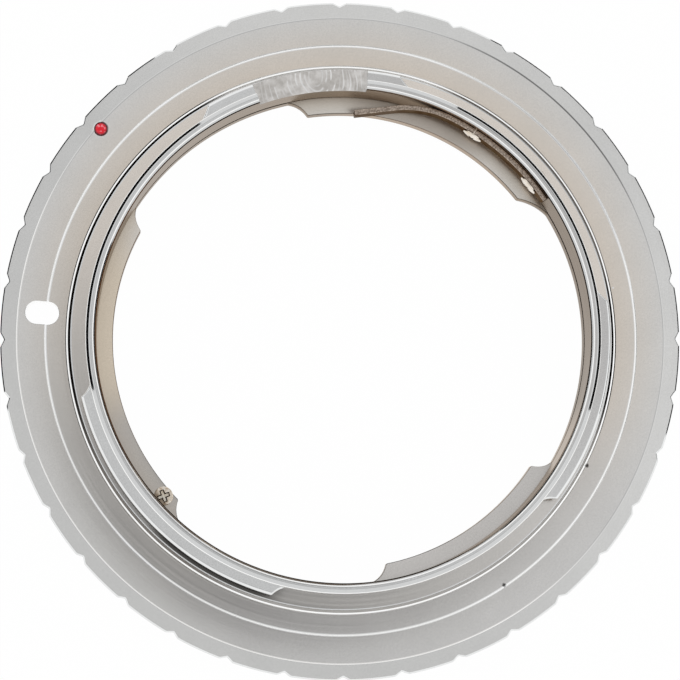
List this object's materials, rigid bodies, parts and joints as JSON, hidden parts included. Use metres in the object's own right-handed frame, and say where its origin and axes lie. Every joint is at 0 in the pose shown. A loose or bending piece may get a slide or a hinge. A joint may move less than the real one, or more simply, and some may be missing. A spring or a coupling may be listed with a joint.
{
  "type": "lens mount adapter",
  "caption": "Thin plated metal ring with a camera bayonet standing around a lens bayonet, a leaf spring and stop screw in its bore, a locking-pin slot and a red index bead.",
  "frame": {"origin": "on the optical axis, at the plane of the lens seat that the ring lies on", "axes": "+Z along the optical axis towards the camera, +Y towards the milled flat as in the picture, +X to the picture's right"},
  "size_m": [0.0684, 0.0684, 0.0083],
  "materials": {
    "nickel_plate": "satin nickel plate over turned and milled brass",
    "spring_strip": "rolled spring strip with sheared edges",
    "screw_steel": "bright plated steel",
    "screw_brass": "plated brass, warm",
    "red_enamel": "glossy red enamel bead"
  },
  "bodies": {
    "adapter": {"adapter_body": "nickel_plate", "spring_screws": "screw_steel", "stop_screw": "screw_brass", "index_bead": "red_enamel"},
    "leaf": {"leaf_spring": "spring_strip"}
  },
  "joints": [
    {"name": "leaf_flex", "type": "hinge", "parent": "adapter", "child": "leaf", "pos_m": [0.01075, 0.02176, 0.00625], "axis": [0, 0, -1], "range_deg": [0, 6], "stiffness_Nm_per_rad": 0.1, "deforming": ["leaf_spring"]}
  ]
}
